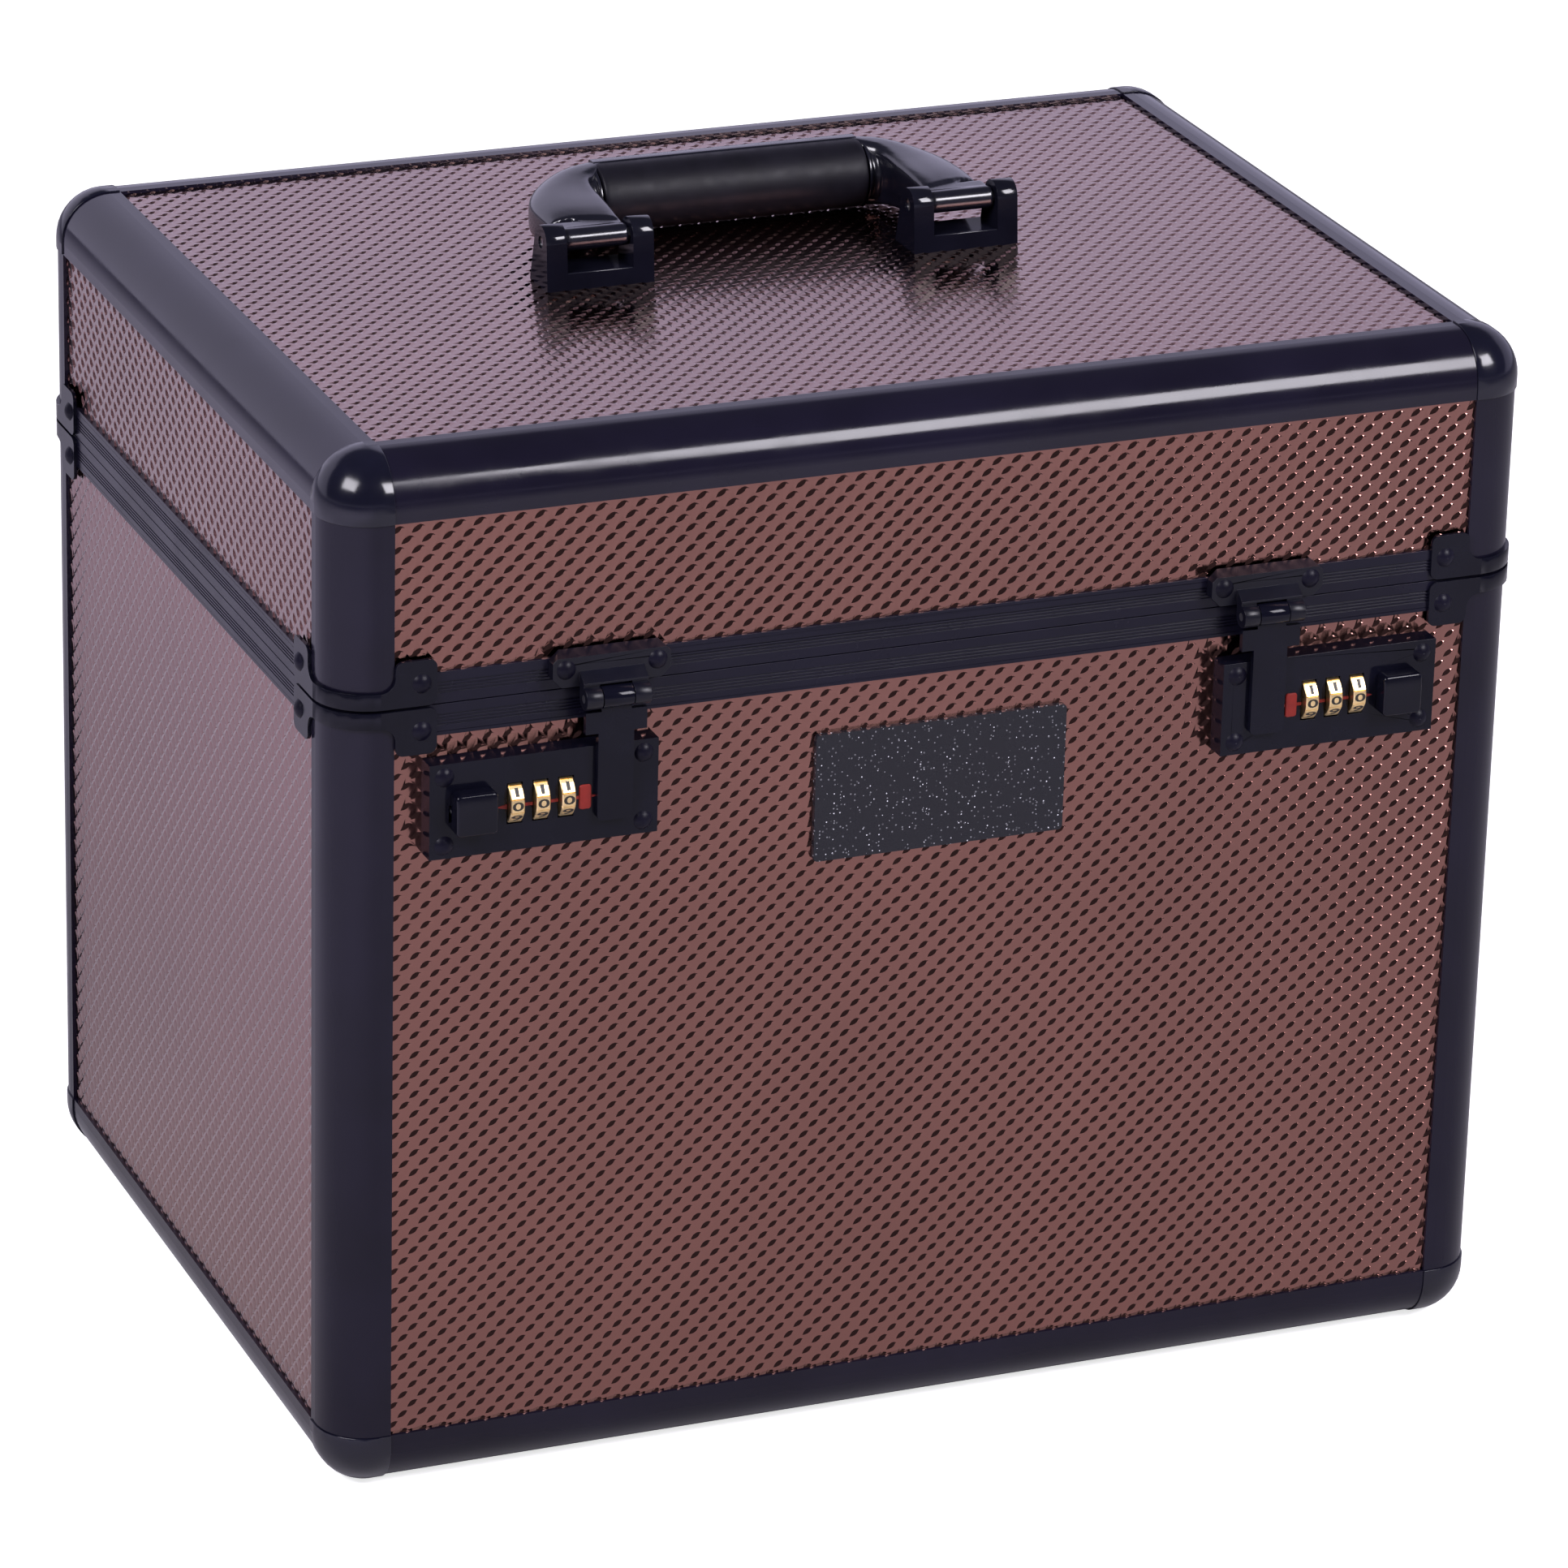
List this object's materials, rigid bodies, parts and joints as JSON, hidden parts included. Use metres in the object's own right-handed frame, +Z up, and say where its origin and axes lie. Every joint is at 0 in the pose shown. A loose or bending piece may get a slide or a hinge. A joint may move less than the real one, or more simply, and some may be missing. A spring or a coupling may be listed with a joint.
{
  "type": "horse grooming box",
  "caption": "Upright framed grooming box with embossed panels, hinged lid, folding top handle, hasps over combination locks and a lift-out tray.",
  "frame": {"origin": "on the floor, under the middle of the case", "axes": "+X to the right seen from the front, +Y to the back with the hinges, +Z up"},
  "size_m": [0.4054, 0.3135, 0.3666],
  "materials": {
    "panel_skin": "bronze-mauve sheet embossed with small leaf-shaped marks",
    "frame_black": "satin black anodised",
    "cap_black": "gloss black",
    "hardware_black": "semi-gloss black",
    "button_black": "polished black",
    "dial_gold": "polished gold with black numerals",
    "marker_red": "red",
    "steel": "bright zinc plate",
    "badge_black": "black with fine pale specks, left bare",
    "handle_black": "gloss black moulding",
    "grip_rubber": "matte black",
    "lining_black": "dark felt-faced lining",
    "tray_black": "matte black"
  },
  "bodies": {
    "body": {"base_panel": "panel_skin", "front_panel": "panel_skin", "back_panel": "panel_skin", "left_panel": "panel_skin", "right_panel": "panel_skin", "body_corner_posts": "frame_black", "base_rails": "frame_black", "base_corner_caps": "cap_black", "body_rim": "frame_black", "body_rim_brackets": "hardware_black", "body_bracket_rivets": "hardware_black", "body_lining": "lining_black", "tray_ledges": "tray_black", "badge_plate": "badge_black", "left_lock_case": "hardware_black", "right_lock_case": "hardware_black", "lock_back_plates": "steel", "lock_rivets": "hardware_black", "lock_markers": "marker_red", "dial_axles": "steel", "left_lock_spring": "steel", "right_lock_spring": "steel", "hinge_body_leaves": "hardware_black", "hinge_pins": "steel", "hinge_body_rivets": "hardware_black"},
    "lid": {"top_panel": "panel_skin", "lid_front_panel": "panel_skin", "lid_back_panel": "panel_skin", "lid_left_panel": "panel_skin", "lid_right_panel": "panel_skin", "lid_corner_posts": "frame_black", "lid_rails": "frame_black", "lid_corner_caps": "cap_black", "lid_rim": "frame_black", "lid_rim_brackets": "hardware_black", "lid_bracket_rivets": "hardware_black", "lid_lining": "lining_black", "handle_bases": "handle_black", "handle_pins": "steel", "handle_screws": "steel", "hinge_lid_leaves": "hardware_black", "hinge_lid_rivets": "hardware_black", "hasp_plates": "hardware_black", "hasp_pins": "steel", "hasp_rivets": "hardware_black"},
    "handle": {"handle_bail": "handle_black", "handle_grip": "grip_rubber"},
    "left_hasp_body": {"left_hasp": "hardware_black"},
    "right_hasp_body": {"right_hasp": "hardware_black"},
    "left_button": {"left_lock_button": "button_black"},
    "right_button": {"right_lock_button": "button_black"},
    "left_wheel_1": {"left_dial_1": "dial_gold"},
    "left_wheel_2": {"left_dial_2": "dial_gold"},
    "left_wheel_3": {"left_dial_3": "dial_gold"},
    "right_wheel_1": {"right_dial_1": "dial_gold"},
    "right_wheel_2": {"right_dial_2": "dial_gold"},
    "right_wheel_3": {"right_dial_3": "dial_gold"},
    "tray": {"tray": "tray_black", "tray_dividers": "tray_black"}
  },
  "joints": [
    {"name": "lid_hinge", "type": "hinge", "parent": "body", "child": "lid", "pos_m": [0, 0.1509, 0.2655], "axis": [-1, 0, 0], "range_deg": [0, 100]},
    {"name": "handle_fold", "type": "hinge", "parent": "lid", "child": "handle", "pos_m": [0, -0.0028, 0.3581], "axis": [1, 0, 0], "range_deg": [0, 180]},
    {"name": "left_hasp_swing", "type": "hinge", "parent": "lid", "child": "left_hasp_body", "pos_m": [-0.1117, -0.1546, 0.2643], "axis": [-1, 0, 0], "range_deg": [0, 120]},
    {"name": "right_hasp_swing", "type": "hinge", "parent": "lid", "child": "right_hasp_body", "pos_m": [0.1083, -0.1546, 0.2643], "axis": [-1, 0, 0], "range_deg": [0, 120]},
    {"name": "left_button_slide", "type": "slide", "parent": "body", "child": "left_button", "axis": [-1, 0, 0], "range_m": [0, 0.004], "stiffness_N_per_m": 300, "deforming": ["left_lock_spring"]},
    {"name": "right_button_slide", "type": "slide", "parent": "body", "child": "right_button", "axis": [1, 0, 0], "range_m": [0, 0.004], "stiffness_N_per_m": 300, "deforming": ["right_lock_spring"]},
    {"name": "left_wheel_1_turn", "type": "hinge", "parent": "body", "child": "left_wheel_1", "pos_m": [-0.1436, -0.1494, 0.2326], "axis": [1, 0, 0], "continuous": true},
    {"name": "left_wheel_2_turn", "type": "hinge", "parent": "body", "child": "left_wheel_2", "pos_m": [-0.1353, -0.1494, 0.2326], "axis": [1, 0, 0], "continuous": true},
    {"name": "left_wheel_3_turn", "type": "hinge", "parent": "body", "child": "left_wheel_3", "pos_m": [-0.127, -0.1494, 0.2326], "axis": [1, 0, 0], "continuous": true},
    {"name": "right_wheel_1_turn", "type": "hinge", "parent": "body", "child": "right_wheel_1", "pos_m": [0.1402, -0.1494, 0.2326], "axis": [1, 0, 0], "continuous": true},
    {"name": "right_wheel_2_turn", "type": "hinge", "parent": "body", "child": "right_wheel_2", "pos_m": [0.1319, -0.1494, 0.2326], "axis": [1, 0, 0], "continuous": true},
    {"name": "right_wheel_3_turn", "type": "hinge", "parent": "body", "child": "right_wheel_3", "pos_m": [0.1236, -0.1494, 0.2326], "axis": [1, 0, 0], "continuous": true},
    {"name": "tray_lift", "type": "slide", "parent": "body", "child": "tray", "axis": [0, 0, 1], "range_m": [0, 0.07]}
  ]
}
